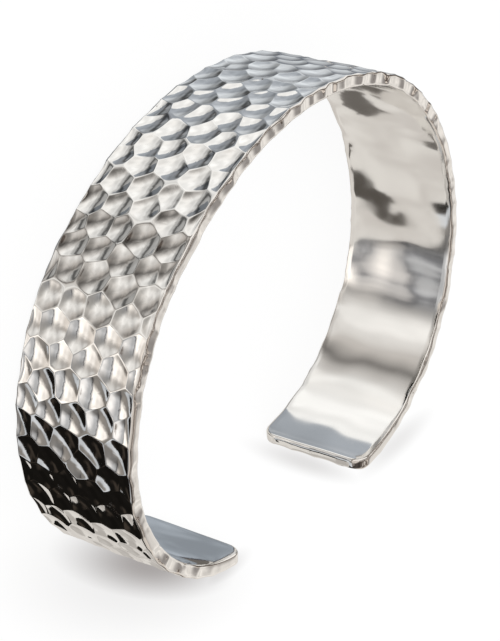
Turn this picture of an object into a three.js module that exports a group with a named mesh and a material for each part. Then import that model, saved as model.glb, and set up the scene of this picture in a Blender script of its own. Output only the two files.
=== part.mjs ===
// A hammered silver cuff bracelet: one strip of sheet, dented all over its outer face by a
// round-faced hammer and bent into an open oval. Millimetres, +Z up. The cuff lies on one long
// edge with its opening towards -Y, and the origin is the middle of its footprint.
import * as THREE from "three";

// Driving dimensions
const stripLength = 158; // end to end, along the outer face
const bandWidth = 14;
const stripThickness = 1.5; // at the ridges between the dents
const cornerRadius = 1.9; // of the four corners of the strip
const edgeRounding = 0.22; // where the faces meet the edges
const dentPitch = 3.05; // from one dent to the next
const dentDepth = 0.3; // below the ridges

// Shares of the dent pitch and depth: how far a blow strays, and how much blows differ
const strayShare = 0.2;
const unevenShare = 0.22;

// How far a dent reaches before it meets the next at a ridge, as a share of the pitch
const reachShare = 0.6;

// Steps of the round corners, and where a dent's ring of vertices lies between middle and ridge
const cornerSteps = 4;
const ringShare = 0.55;

// The bends of the strip, from the right end round the back to the left end
const bends = [
  { stretch: "right terminal", lengthShare: 0.218, degrees: 87.5 },
  { stretch: "right shoulder", lengthShare: 0.199, degrees: 69.4 },
  { stretch: "back, right half", lengthShare: 0.081, degrees: 20.0 },
  { stretch: "back, left half", lengthShare: 0.196, degrees: 45.7 },
  { stretch: "left shoulder", lengthShare: 0.104, degrees: 38.4 },
  { stretch: "left terminal", lengthShare: 0.202, degrees: 93.9 },
];

// Sizes that follow from the driving dimensions
const halfWidth = bandWidth / 2;
const columnPitch = dentPitch * Math.sin(Math.PI / 3);
const ballRadius = (reachShare * dentPitch) ** 2 / (2 * dentDepth); // of the hammer's face
const rounding = Math.min(edgeRounding, (stripThickness - dentDepth) / 4);
const rimRadius = Math.max(cornerRadius, 2 * rounding);
const weldDistance = 0.02 * dentPitch; // ridges shorter than this are left out

// A number from -1 to 1 for each blow of the hammer, scattered by its square and a key
const scatter = (blowNumber, key) => 2 * ((key * blowNumber ** 2) % 1) - 1;
const scatterKeys = { along: 0.7548776662, across: 0.569840291, depth: 0.6180339887 };

// Each bend as an arc that turns left from its own start and heading
function bendArcs() {
  const arcs = [];
  let from = 0;
  let at = { x: 0, y: 0, heading: 0 };
  for (const { lengthShare, degrees } of bends) {
    const length = lengthShare * stripLength;
    const arc = { from, at, radius: length / THREE.MathUtils.degToRad(degrees) };
    arcs.push(arc);
    at = alongArc(arc, length);
    from += length;
  }
  return arcs;
}

function alongArc({ at, radius }, distance) {
  const heading = at.heading + distance / radius;
  return {
    x: at.x + radius * (Math.sin(heading) - Math.sin(at.heading)),
    y: at.y - radius * (Math.cos(heading) - Math.cos(at.heading)),
    heading,
  };
}

// A place on the flat strip, s along it, w across it and h above its outer face, on the bent cuff
function bent(arcs, s, w, h) {
  const arc = arcs.findLast(({ from }) => from <= s) ?? arcs[0];
  const { x, y, heading } = alongArc(arc, s - arc.from);
  return [x + h * Math.sin(heading), y - h * Math.cos(heading), w + halfWidth];
}

// The hammer's blows, in staggered columns across the strip, each a little astray
function hammerBlows() {
  const blows = [];
  const columns = Math.ceil(stripLength / columnPitch) + 1;
  const rows = Math.ceil(bandWidth / dentPitch) + 2;
  for (let column = 0; column < columns; column++) {
    for (let row = 0; row < rows; row++) {
      const blowNumber = column * rows + row + 1;
      const [along, across, depth] = Object.values(scatterKeys).map((key) => scatter(blowNumber, key));
      const stagger = column % 2 ? 1 / 4 : -1 / 4;
      blows.push({
        s: columnPitch * column + dentPitch * strayShare * along,
        w: dentPitch * (row - (rows - 1) / 2 + stagger + strayShare * across),
        depth: dentDepth * (1 + unevenShare * depth),
      });
    }
  }
  return blows;
}

// The height of one blow's round scoop at a place, above or below the ridges
function scoop(blow, s, w) {
  return ((s - blow.s) ** 2 + (w - blow.w) ** 2) / (2 * ballRadius) - blow.depth;
}

// The nearest place in the rectangle that the four corner arcs are centred on
function nearCore({ s, w }) {
  return {
    s: THREE.MathUtils.clamp(s, rimRadius, stripLength - rimRadius),
    w: THREE.MathUtils.clamp(w, rimRadius - halfWidth, halfWidth - rimRadius),
  };
}

// The same place moved out to where the edge of the strip is
function outToEdge(place) {
  const core = nearCore(place);
  const reach = Math.hypot(place.s - core.s, place.w - core.w);
  return {
    s: core.s + ((place.s - core.s) * rimRadius) / reach,
    w: core.w + ((place.w - core.w) * rimRadius) / reach,
  };
}

// The outer face's own outline, inside the rounded edge, anticlockwise in (s, w)
function faceOutline() {
  const outline = [];
  for (let corner = 0; corner < 4; corner++) {
    const right = corner === 0 || corner === 3;
    const core = {
      s: right ? stripLength - rimRadius : rimRadius,
      w: corner < 2 ? halfWidth - rimRadius : rimRadius - halfWidth,
    };
    for (let step = 0; step <= cornerSteps; step++) {
      const angle = ((corner + step / cornerSteps) * Math.PI) / 2;
      outline.push({
        s: core.s + (rimRadius - rounding) * Math.cos(angle),
        w: core.w + (rimRadius - rounding) * Math.sin(angle),
      });
    }
  }
  return outline;
}

// What is left of a polygon where one blow cuts deeper than another
function clipped(polygon, blow, other) {
  const above = (p) => scoop(blow, p.s, p.w) - scoop(other, p.s, p.w);
  const kept = [];
  polygon.forEach((here, i) => {
    const next = polygon[(i + 1) % polygon.length];
    const a = above(here);
    const b = above(next);
    if (a <= 0) kept.push(here);
    if (a <= 0 !== b <= 0) {
      const t = a / (a - b);
      kept.push({ s: here.s + t * (next.s - here.s), w: here.w + t * (next.w - here.w) });
    }
  });
  return kept;
}

// One polygon on the flat strip for each dent, the cells of a power diagram of the blows
function dentCells(blows) {
  const outline = faceOutline();
  return blows.map((blow) => {
    const others = blows.filter((other) => other !== blow);
    return { blow, polygon: others.reduce((left, other) => clipped(left, blow, other), outline) };
  });
}

// Vertices on the flat strip, where corners closer than the weld distance are one
class FlatVertices {
  places = [];

  // Each of these three gives or takes a vertex as its number in the list
  add(place) {
    this.places.push(place);
    return this.places.length - 1;
  }

  weld({ s, w, h }) {
    const same = this.places.findIndex((p) => Math.hypot(p.s - s, p.w - w) < weldDistance);
    return same < 0 ? this.add({ s, w, h }) : same;
  }

  between(a, b, share) {
    const [from, to] = [this.places[a], this.places[b]];
    return { s: from.s + share * (to.s - from.s), w: from.w + share * (to.w - from.w) };
  }
}

const atDepth = (blow, { s, w }) => ({ s, w, h: Math.min(0, scoop(blow, s, w)) });

// Loops of welded corners, one for each dent
function cellLoops(vertices, cells) {
  const loops = [];
  for (const { blow, polygon } of cells) {
    const corners = polygon.map((corner) => vertices.weld(atDepth(blow, corner)));
    const loop = corners.filter((corner, i) => corner !== corners[(i + 1) % corners.length]);
    if (new Set(loop).size > 2) loops.push({ blow, loop });
  }
  return loops;
}

// A vertex in the middle of each side, shared by the two dents that meet there
function sideMiddles(vertices, loops) {
  const middles = new Map();
  for (const { blow, loop } of loops) {
    loop.forEach((a, i) => {
      const b = loop[(i + 1) % loop.length];
      const key = `${Math.min(a, b)} ${Math.max(a, b)}`;
      const found = middles.get(key);
      if (found) {
        found.rim = null;
      } else {
        const middle = vertices.add(atDepth(blow, vertices.between(a, b, 1 / 2)));
        middles.set(key, { middle, rim: [a, b] });
      }
    });
  }
  return middles;
}

// Triangles of the dented face: a fan in the middle of each dent, and a band out to its ridges
function outerFace(vertices, loops, middles) {
  const triangles = [];
  for (const { blow, loop } of loops) {
    const count = loop.length;
    const total = loop.reduce(
      (sum, i) => ({ s: sum.s + vertices.places[i].s, w: sum.w + vertices.places[i].w }),
      { s: 0, w: 0 },
    );
    const hub = vertices.add(atDepth(blow, { s: total.s / count, w: total.w / count }));
    const ring = loop.map((corner) => {
      const place = vertices.between(hub, corner, ringShare);
      return vertices.add(atDepth(blow, place));
    });
    loop.forEach((a, i) => {
      const j = (i + 1) % count;
      const b = loop[j];
      const { middle } = middles.get(`${Math.min(a, b)} ${Math.max(a, b)}`);
      triangles.push([hub, ring[i], ring[j]]);
      triangles.push([ring[i], middle, ring[j]]);
      triangles.push([ring[i], a, middle], [middle, b, ring[j]]);
    });
  }
  return triangles;
}

// The rim of the outer face as one loop of vertices, anticlockwise, from the sides with no neighbour
function rimLoop(middles) {
  const next = new Map();
  for (const { middle, rim } of middles.values()) {
    if (rim) {
      next.set(rim[0], middle);
      next.set(middle, rim[1]);
    }
  }
  const loop = [...next.keys()].slice(0, 1);
  while (loop.length < next.size) loop.push(next.get(loop.at(-1)));
  return loop;
}

// The rounded edge: four rows of vertices from the outer face round to the inner face
function edgeWall(vertices, rim) {
  const rows = [rim, [], [], []];
  for (const corner of rim) {
    const { s, w, h } = vertices.places[corner];
    const out = outToEdge({ s, w });
    rows[1].push(vertices.add({ ...out, h: h - rounding }));
    rows[2].push(vertices.add({ ...out, h: rounding - stripThickness }));
    rows[3].push(vertices.add({ s, w, h: -stripThickness }));
  }
  const triangles = [];
  for (let row = 0; row < 3; row++) {
    rim.forEach((_, i) => {
      const j = (i + 1) % rim.length;
      const [a, b] = [rows[row][i], rows[row][j]];
      const [c, d] = [rows[row + 1][i], rows[row + 1][j]];
      triangles.push([a, c, b], [b, c, d]);
    });
  }
  return { triangles, innerRim: rows[3] };
}

// The rim's front side, left end, back side and right end, in the order of the loop
function rimRuns({ places }, rim) {
  const atEnd = (i) => Math.abs(places[i].s - stripLength / 2) > stripLength / 2 - rimRadius;
  const begin = rim.findIndex((i, k) => !atEnd(i) && atEnd(rim.at(k - 1)) && places[i].w > 0);
  const turned = [...rim.slice(begin), ...rim.slice(0, begin)];
  const runs = [];
  turned.forEach((i, k) => {
    if (k === 0 || atEnd(i) !== atEnd(turned[k - 1])) runs.push([]);
    runs.at(-1).push(i);
  });
  return runs;
}

// Triangles between two rows of vertices that both run towards +s
function laced(places, low, high) {
  const triangles = [];
  let l = 0;
  let h = 0;
  while (l < low.length - 1 || h < high.length - 1) {
    if (h === high.length - 1 || places[low[l + 1]]?.s < places[high[h + 1]].s) {
      triangles.push([low[l], low[l + 1], high[h]]);
      l += 1;
    } else {
      triangles.push([low[l], high[h + 1], high[h]]);
      h += 1;
    }
  }
  return triangles;
}

// A fan over a convex loop, from a vertex of its own
function fan(vertices, loop, hub) {
  const middle = vertices.add({ ...hub, h: -stripThickness });
  return loop.map((a, i) => [middle, a, loop[(i + 1) % loop.length]]);
}

// The smooth inner face: a fan over each end, and one strip of triangles laced between the sides
function innerFace(vertices, rim) {
  const [front, left, back, right] = rimRuns(vertices, rim);
  const inset = (rimRadius + rounding) / 2;
  return [
    ...fan(vertices, [front.at(-1), ...left, back[0]], { s: inset, w: 0 }),
    ...fan(vertices, [back.at(-1), ...right, front[0]], { s: stripLength - inset, w: 0 }),
    ...laced(vertices.places, back, front.toReversed()),
  ].map(([a, b, c]) => [a, c, b]);
}

// The whole strip, dented and bent, as one closed mesh that stands centred on the origin
function cuffGeometry() {
  const vertices = new FlatVertices();
  const loops = cellLoops(vertices, dentCells(hammerBlows()));
  const middles = sideMiddles(vertices, loops);
  const rim = rimLoop(middles);
  const outer = outerFace(vertices, loops, middles);
  const wall = edgeWall(vertices, rim);
  const inner = innerFace(vertices, wall.innerRim);
  const arcs = bendArcs();
  const positions = vertices.places.flatMap(({ s, w, h }) => bent(arcs, s, w, h));
  const geometry = new THREE.BufferGeometry();
  geometry.setAttribute("position", new THREE.Float32BufferAttribute(positions, 3));
  geometry.setIndex([...outer, ...wall.triangles, ...inner].flat());
  return settled(geometry, arcs);
}

// Turned until the two ends lie level along X, and moved over the origin
function settled(geometry, arcs) {
  const [rightX, rightY] = bent(arcs, 0, 0, 0);
  const [leftX, leftY] = bent(arcs, stripLength, 0, 0);
  geometry.rotateZ(-Math.atan2(rightY - leftY, rightX - leftX));
  geometry.computeBoundingBox();
  const { min, max } = geometry.boundingBox;
  geometry.translate(-(min.x + max.x) / 2, -(min.y + max.y) / 2, -min.z);
  geometry.computeVertexNormals();
  return geometry;
}

const polishedSilver = new THREE.MeshStandardMaterial({
  name: "polished silver",
  color: 0xe8e5e0,
  metalness: 1,
  roughness: 0.1,
  flatShading: true,
});

const cuff = new THREE.Mesh(cuffGeometry(), polishedSilver);
cuff.name = "cuff";

const bracelet = new THREE.Group();
bracelet.add(cuff);

export default bracelet;
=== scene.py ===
"""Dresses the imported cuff: one strip of hammered silver, bent into an open oval, on its long edge.

The strip is built flat, with s along it, w across it and h above its outer face, and Geometry
Nodes then hammer its edges, ripple its inner face and bend it. Metres, +Z up, and the cuff stands
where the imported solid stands.
"""

import logging
import math
from dataclasses import dataclass, field
from enum import Enum

import bpy
import numpy as np
from mathutils import Matrix, Vector
from mathutils.geometry import delaunay_2d_cdt

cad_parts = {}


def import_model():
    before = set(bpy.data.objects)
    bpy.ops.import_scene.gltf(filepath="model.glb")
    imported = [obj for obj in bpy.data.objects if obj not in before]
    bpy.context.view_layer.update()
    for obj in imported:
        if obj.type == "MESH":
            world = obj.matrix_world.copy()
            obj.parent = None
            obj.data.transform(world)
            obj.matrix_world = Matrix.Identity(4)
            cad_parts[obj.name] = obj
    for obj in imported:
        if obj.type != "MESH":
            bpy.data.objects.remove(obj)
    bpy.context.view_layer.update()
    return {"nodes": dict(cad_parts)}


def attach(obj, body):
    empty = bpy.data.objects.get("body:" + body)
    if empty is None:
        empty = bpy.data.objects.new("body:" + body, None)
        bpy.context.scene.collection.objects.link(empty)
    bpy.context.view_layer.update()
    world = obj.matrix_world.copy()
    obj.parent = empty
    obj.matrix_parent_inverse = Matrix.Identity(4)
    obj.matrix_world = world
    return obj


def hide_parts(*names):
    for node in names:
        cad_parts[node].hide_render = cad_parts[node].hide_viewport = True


Colour = tuple[float, ...]

MM = 0.001

# A length too small to matter, which keeps a division from going wrong.
TINY = 1e-9
# How many places are hammered at once, to save memory.
PLACES_AT_ONCE = 4096
# The middle of a noise's values, and the place where a ramp's new stops wait.
NOISE_MIDDLE = 0.5
RAMP_MIDDLE = 0.5
# What a ring spans in degrees, and a wall from straight below to straight above.
FULL_TURN = 360
WALL_SPAN = 2
# Whole turns that are added to an angle, so that it never falls below 0.
SPARE_TURNS = 3.0

log = logging.getLogger("cuff")


class Stored(Enum):
    """The values that the flat strip stores for the bending tree and the silver."""

    OUTWARD = "outward"
    ALONG_RIM = "along_rim"
    INSIDE = "inside"


@dataclass(frozen=True)
class Bend:
    """One stretch of the strip, bent to an arc, as a share of its length and an angle."""

    stretch: str
    length_share: float
    degrees: float


@dataclass(frozen=True)
class Strip:
    """The sizes of the flat strip of silver and the bends that make it an oval."""

    length: float = 158 * MM
    width: float = 14 * MM
    thickness: float = 1.5 * MM
    corner_radius: float = 1.9 * MM
    edge_rounding: float = 0.32 * MM
    bends: tuple[Bend, ...] = (
        Bend("right terminal", 0.218, 87.5),
        Bend("right shoulder", 0.199, 69.4),
        Bend("back, right half", 0.081, 20.0),
        Bend("back, left half", 0.196, 45.7),
        Bend("left shoulder", 0.104, 38.4),
        Bend("left terminal", 0.202, 93.9),
    )

    def centre_line(self, step: float = 0.2 * MM) -> np.ndarray:
        """Follows the outer face from the right end round the back to the left end.

        Args:
            step: The distance between two points.

        Returns:
            Points in X and Y, the two ends level along X and the middle of their box at 0, 0.
        """
        points = [np.zeros((1, 2))]
        heading = 0.0
        for bend in self.bends:
            reach = bend.length_share * self.length
            radius = reach / math.radians(bend.degrees)
            turned = heading + np.linspace(0, 1, round(reach / step) + 1)[1:] * reach / radius
            across = np.sin(turned) - math.sin(heading)
            along = math.cos(heading) - np.cos(turned)
            points.append(points[-1][-1] + radius * np.column_stack((across, along)))
            heading = turned[-1]
        line = np.vstack(points)
        chord = line[0] - line[-1]
        turn = math.atan2(chord[1], chord[0])
        line = line @ np.array(((math.cos(turn), -math.sin(turn)), (math.sin(turn), math.cos(turn))))
        return line - (line.min(0) + line.max(0)) / 2


@dataclass(frozen=True)
class Hammering:
    """The blows of a round-faced hammer all over the strip's outer face.

    The stagger, the stray and the reach are shares of the pitch, and the unevenness is a share of
    the depth. The scatter keys turn a blow's number into its stray and its depth.
    """

    pitch: float = 3.05 * MM
    depth: float = 0.3 * MM
    stagger_share: float = 0.25
    stray_share: float = 0.2
    uneven_share: float = 0.22
    reach_share: float = 0.6
    ridge_softness: float = 0.02 * MM
    scatter_keys: tuple[float, float, float] = (0.7548776662, 0.569840291, 0.6180339887)

    @property
    def ball_radius(self) -> float:
        """The radius of the hammer's face."""
        return (self.reach_share * self.pitch) ** 2 / (2 * self.depth)

    def blows(self, strip: Strip) -> np.ndarray:
        """Places the blows in staggered columns across the strip, each a little astray.

        Args:
            strip: The strip that is hammered.

        Returns:
            One row for each blow: its s, its w and its depth.
        """
        column_pitch = self.pitch * math.sin(math.pi / 3)
        columns = math.ceil(strip.length / column_pitch) + 1
        rows = math.ceil(strip.width / self.pitch) + 2
        column, row = np.divmod(np.arange(columns * rows), rows)
        number = np.arange(1, columns * rows + 1, dtype=float)
        along, across, depth = (2 * ((key * number**2) % 1) - 1 for key in self.scatter_keys)
        stagger = np.where(column % 2, self.stagger_share, -self.stagger_share)
        return np.column_stack((
            column_pitch * column + self.pitch * self.stray_share * along,
            self.pitch * (row - (rows - 1) / 2 + stagger + self.stray_share * across),
            self.depth * (1 + self.uneven_share * depth),
        ))

    def heights(self, blows: np.ndarray, places: np.ndarray) -> np.ndarray:
        """Finds how deep the hammered face lies, with the ridges between the dents softened.

        Args:
            blows: The blows' s, w and depth.
            places: Places on the strip, in s and w.

        Returns:
            The height at each place, 0 or less.
        """
        result = np.empty(len(places))
        for start in range(0, len(places), PLACES_AT_ONCE):
            part = places[start:start + PLACES_AT_ONCE]
            reach = ((part[:, None, :] - blows[None, :, :2]) ** 2).sum(2)
            scoops = reach / (2 * self.ball_radius) - blows[:, 2]
            deepest = np.minimum(scoops.min(1), 0)
            shares = np.exp((deepest[:, None] - scoops) / self.ridge_softness).sum(1)
            shares += np.exp(deepest / self.ridge_softness)
            result[start:start + PLACES_AT_ONCE] = deepest - self.ridge_softness * np.log(shares)
        return result


@dataclass
class FlatMesh:
    """Vertices on the flat strip, each by its s and w, and their faces."""

    places: list[tuple[float, float]] = field(default_factory=list)
    faces: list[tuple[int, ...]] = field(default_factory=list)

    def add(self, place: tuple[float, float]) -> int:
        """Adds a vertex and returns its number."""
        self.places.append((float(place[0]), float(place[1])))
        return len(self.places) - 1


@dataclass
class HammeredFace:
    """The dented outer face as a mesh whose edges follow the ridges between the dents.

    Each dent's rings of vertices lie at shares of the way from its middle to its border, and the
    reach within which neighbours cut a dent is a share of the hammering's pitch.
    """

    strip: Strip
    hammering: Hammering
    ring_shares: tuple[float, ...] = (0.3, 0.55, 0.75, 0.88, 0.95, 0.985)
    side_step: float = 0.3 * MM
    weld_distance: float = 0.07 * MM
    corner_steps: int = 10
    neighbour_reach: float = 3.2
    mesh: FlatMesh = field(default_factory=FlatMesh)
    sides: dict[tuple[int, int], list[int]] = field(default_factory=dict)
    loops: list[list[int]] = field(default_factory=list)

    def __post_init__(self) -> None:
        """Places the blows."""
        self.blows = self.hammering.blows(self.strip)

    def outline(self) -> np.ndarray:
        """Draws the face's outline inside the rounded edge.

        Returns:
            Places in s and w, anticlockwise.
        """
        radius = self.strip.corner_radius
        half_width = self.strip.width / 2
        points = []
        for corner, (s, w) in enumerate(((1, 1), (0, 1), (0, 0), (1, 0))):
            core = (
                radius + s * (self.strip.length - 2 * radius),
                radius - half_width + w * (self.strip.width - 2 * radius),
            )
            for step in range(self.corner_steps + 1):
                angle = (corner + step / self.corner_steps) * math.pi / 2
                reach = radius - self.strip.edge_rounding
                points.append((core[0] + reach * math.cos(angle), core[1] + reach * math.sin(angle)))
        return np.array(points)

    def cell(self, number: int, outline: np.ndarray) -> np.ndarray:
        """Cuts the outline down to where one blow is the deepest.

        Args:
            number: The blow's place in the list.
            outline: The outline of the whole face.

        Returns:
            The corners of the dent, anticlockwise, or none.
        """
        s, w, depth = self.blows[number]
        reach = self.neighbour_reach * self.hammering.pitch
        distance = np.hypot(self.blows[:, 0] - s, self.blows[:, 1] - w)
        polygon = outline
        for other in np.argsort(distance)[1:np.count_nonzero(distance < reach)]:
            towards = self.blows[other, :2] - (s, w)
            middle = (self.blows[other, :2] + (s, w)) / 2
            shift = self.hammering.ball_radius * (depth - self.blows[other, 2])
            past = (polygon - middle) @ towards - shift
            polygon = self.cut(polygon, past)
            if len(polygon) < 3:
                break
        return polygon

    @staticmethod
    def cut(polygon: np.ndarray, past: np.ndarray) -> np.ndarray:
        """Keeps the part of a polygon that isn't past a line.

        Args:
            polygon: The corners.
            past: How far each corner is past the line.

        Returns:
            The corners of what is left.
        """
        kept = []
        for here, there, a, b in zip(polygon, np.roll(polygon, -1, 0), past, np.roll(past, -1)):
            if a <= 0:
                kept.append(here)
            if (a <= 0) != (b <= 0):
                kept.append(here + (there - here) * a / (a - b))
        return np.array(kept)

    def weld(self, corners: np.ndarray) -> list[int]:
        """Turns corners into vertices, with corners that nearly meet made one.

        Args:
            corners: The corners of a dent.

        Returns:
            The vertices' numbers, each once.
        """
        loop = []
        for corner in corners:
            known = np.array(self.mesh.places).reshape(-1, 2)
            near = np.flatnonzero(np.hypot(*(known - corner).T) < self.weld_distance)
            loop.append(int(near[0]) if len(near) else self.mesh.add(corner))
        return [a for a, b in zip(loop, loop[1:] + loop[:1]) if a != b]

    def side(self, a: int, b: int) -> list[int]:
        """Divides one side of a dent, once for the two dents that meet there.

        Args:
            a: The vertex at its start.
            b: The vertex at its end.

        Returns:
            The vertices from a on, without b.
        """
        key = (min(a, b), max(a, b))
        if key not in self.sides:
            start, end = (np.array(self.mesh.places[i]) for i in key)
            count = max(2, round(float(np.hypot(*(end - start))) / self.side_step))
            self.sides[key] = [self.mesh.add(start + (end - start) * k / count) for k in range(1, count)]
        between = self.sides[key]
        return [a] + (between if a == key[0] else between[::-1])

    def dent(self, border: list[int]) -> None:
        """Fills one dent with rings of vertices round its middle.

        Args:
            border: The vertices round the dent, anticlockwise.
        """
        around = np.array([self.mesh.places[i] for i in border])
        middle = around.mean(0)
        hub = self.mesh.add(middle)
        rings = []
        for share in self.ring_shares:
            rings.append([self.mesh.add(middle + share * (corner - middle)) for corner in around])
        rings.append(border)
        count = len(border)
        for i in range(count):
            j = (i + 1) % count
            self.mesh.faces.append((hub, rings[0][i], rings[0][j]))
            for inner, outer in zip(rings, rings[1:]):
                self.mesh.faces.append((inner[i], outer[i], outer[j], inner[j]))

    def build(self) -> list[int]:
        """Builds every dent.

        Returns:
            The vertices round the whole face, anticlockwise.
        """
        outline = self.outline()
        for number in range(len(self.blows)):
            corners = self.cell(number, outline)
            loop = self.weld(corners) if len(corners) > 2 else []
            if len(set(loop)) > 2:
                self.loops.append(loop)
        for loop in self.loops:
            self.dent([i for a, b in zip(loop, loop[1:] + loop[:1]) for i in self.side(a, b)])
        return self.rim()

    def rim(self) -> list[int]:
        """Joins the sides that no second dent shares.

        Returns:
            The loop of vertices round the whole face, anticlockwise.
        """
        pairs = {(a, b) for loop in self.loops for a, b in zip(loop, loop[1:] + loop[:1])}
        ends = {a: b for a, b in pairs if (b, a) not in pairs}
        here = min(ends)
        loop = []
        for _ in ends:
            loop += self.side(here, ends[here])
            here = ends[here]
        return loop


@dataclass(frozen=True)
class StripPoints:
    """Places on the flat strip, with what the bending tree reads for each of them."""

    places: np.ndarray
    heights: np.ndarray
    outward: np.ndarray
    along_rim: np.ndarray
    inside: np.ndarray


@dataclass(frozen=True)
class CuffBody:
    """The whole closed strip, built flat: hammered face, rounded edge and inner face.

    The inner clearance is a share of the inner step, and the rim's lift is a share of the dents'
    depth that the blows lose there.
    """

    strip: Strip
    hammering: Hammering
    name: str = "cuff_silver"
    rounding_steps: int = 5
    wall_steps: int = 3
    inner_step: float = 0.45 * MM
    inner_clearance: float = 0.6
    inner_weld_mm: float = 1e-5
    rim_lift: float = 0.8
    rim_steepness: int = 4

    def outward_from_core(self, places: np.ndarray) -> tuple[np.ndarray, np.ndarray]:
        """Finds which way the strip's edge lies from places near it.

        Args:
            places: Places in s and w.

        Returns:
            Unit vectors towards the edge, and distances from the rectangle inside the corners.
        """
        radius = self.strip.corner_radius
        low = np.array((radius, radius - self.strip.width / 2))
        high = np.array((self.strip.length - radius, self.strip.width / 2 - radius))
        offset = places - np.clip(places, low, high)
        reach = np.hypot(*offset.T)
        return offset / np.maximum(reach, TINY)[:, None], reach

    def rim_share(self, places: np.ndarray) -> np.ndarray:
        """Finds how much of the dents' depth is left at places, as blows glance off near the rim."""
        _, reach = self.outward_from_core(places)
        return 1 - self.rim_lift * (reach / self.strip.corner_radius) ** self.rim_steepness

    def edge_rows(self) -> list[tuple[float, float, float, float]]:
        """Lists the rows of vertices from the outer face round the edge to the inner face.

        Returns:
            For each row, how far out it lies, its share of the outer height, its drop and how
            much of the inner face's ripple it takes.
        """
        rounding = self.strip.edge_rounding
        thickness = self.strip.thickness
        rows = []
        for step in range(1, self.rounding_steps + 1):
            angle = step / self.rounding_steps * math.pi / 2
            rows.append((math.sin(angle), 1.0, rounding * (1 - math.cos(angle)), 0.0))
        for step in range(1, self.wall_steps):
            share = step / self.wall_steps
            drop = rounding + share * (thickness - 2 * rounding)
            rows.append((1.0, 1 - share, drop, share / 2))
        for step in range(self.rounding_steps, -1, -1):
            angle = step / self.rounding_steps * math.pi / 2
            share = 1 - step / self.rounding_steps / 2
            rows.append((math.sin(angle), 0.0, thickness - rounding * (1 - math.cos(angle)), share))
        return rows

    def inner_points(self) -> np.ndarray:
        """Spreads a lattice of points over the inner face.

        Returns:
            Places in s and w, clear of the face's rim.
        """
        count = np.round(np.array((self.strip.length, self.strip.width)) / self.inner_step).astype(int)
        along = np.linspace(0, self.strip.length, count[0])
        across = np.linspace(-self.strip.width / 2, self.strip.width / 2, count[1])
        lattice = np.stack(np.meshgrid(along, across, indexing="ij"), -1).reshape(-1, 2)
        _, reach = self.outward_from_core(lattice)
        clearance = self.inner_clearance * self.inner_step
        limit = self.strip.corner_radius - self.strip.edge_rounding - clearance
        return lattice[reach < limit]

    def inner_faces(
        self,
        rim: np.ndarray,
        lattice: np.ndarray,
        numbers: np.ndarray,
    ) -> list[tuple[int, ...]]:
        """Fills the inner face with triangles.

        Args:
            rim: The places round it, anticlockwise.
            lattice: The places inside it.
            numbers: The vertex number of each place, the rim's first.

        Returns:
            Triangles that face into the cuff.
        """
        points = [Vector(place / MM) for place in np.vstack((rim, lattice))]
        border = list(range(len(rim)))
        only_inside = 1
        filled = delaunay_2d_cdt(points, [], [border], only_inside, self.inner_weld_mm)
        _, _, triangles, origins, _, _ = filled
        first = [found[0] for found in origins]
        return [tuple(int(numbers[first[i]]) for i in reversed(triangle)) for triangle in triangles]

    def flat(self) -> bpy.types.Object:
        """Builds the flat strip.

        Returns:
            An object whose X, Y and Z are s, w and height, with the bending tree's attributes.
        """
        face = HammeredFace(self.strip, self.hammering)
        rim = face.build()
        places = np.array(face.mesh.places)
        heights = self.hammering.heights(face.blows, places) * self.rim_share(places)
        faces = list(face.mesh.faces)
        rim_places = places[rim]
        outward, _ = self.outward_from_core(rim_places)
        steps = np.hypot(*(np.roll(rim_places, -1, 0) - rim_places).T)
        along_rim = np.concatenate(((0.0,), np.cumsum(steps)[:-1]))
        blank = np.zeros(len(places))
        parts = [StripPoints(places, heights, np.zeros((len(places), 2)), blank, blank)]
        row_before = np.array(rim)
        count = len(places)
        for out, share, drop, ripple in self.edge_rows():
            parts.append(StripPoints(
                rim_places + outward * out * self.strip.edge_rounding,
                heights[rim] * share - drop,
                outward * out,
                along_rim,
                np.full(len(rim), ripple),
            ))
            row = np.arange(count, count + len(rim))
            corners = (row_before, row, np.roll(row, -1), np.roll(row_before, -1))
            faces += [tuple(map(int, quad)) for quad in np.column_stack(corners)]
            row_before = row
            count += len(rim)
        lattice = self.inner_points()
        blank = np.zeros(len(lattice))
        floor_height = np.full(len(lattice), -self.strip.thickness)
        parts.append(StripPoints(lattice, floor_height, np.zeros((len(lattice), 2)), blank, blank + 1))
        numbers = np.concatenate((row_before, np.arange(count, count + len(lattice))))
        faces += self.inner_faces(rim_places, lattice, numbers)
        return self.as_object(parts, faces)

    def as_object(self, parts: list[StripPoints], faces: list[tuple[int, ...]]) -> bpy.types.Object:
        """Makes the object and stores the attributes.

        Args:
            parts: The points, in the order of their numbers.
            faces: The faces.

        Returns:
            The flat object.
        """
        places = np.vstack([part.places for part in parts])
        heights = np.concatenate([part.heights for part in parts])
        outward = np.vstack([part.outward for part in parts])
        mesh = bpy.data.meshes.new(self.name)
        mesh.from_pydata(np.column_stack((places, heights)).tolist(), [], faces)
        direction = mesh.attributes.new(Stored.OUTWARD.value, "FLOAT_VECTOR", "POINT")
        vectors = np.column_stack((outward, np.zeros(len(outward))))
        direction.data.foreach_set("vector", vectors.astype(np.float32).ravel())
        for stored in (Stored.ALONG_RIM, Stored.INSIDE):
            values = np.concatenate([getattr(part, stored.value) for part in parts])
            numbers = mesh.attributes.new(stored.value, "FLOAT", "POINT")
            numbers.data.foreach_set("value", values.astype(np.float32))
        flat = bpy.data.objects.new(self.name, mesh)
        bpy.context.scene.collection.objects.link(flat)
        return flat


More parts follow.
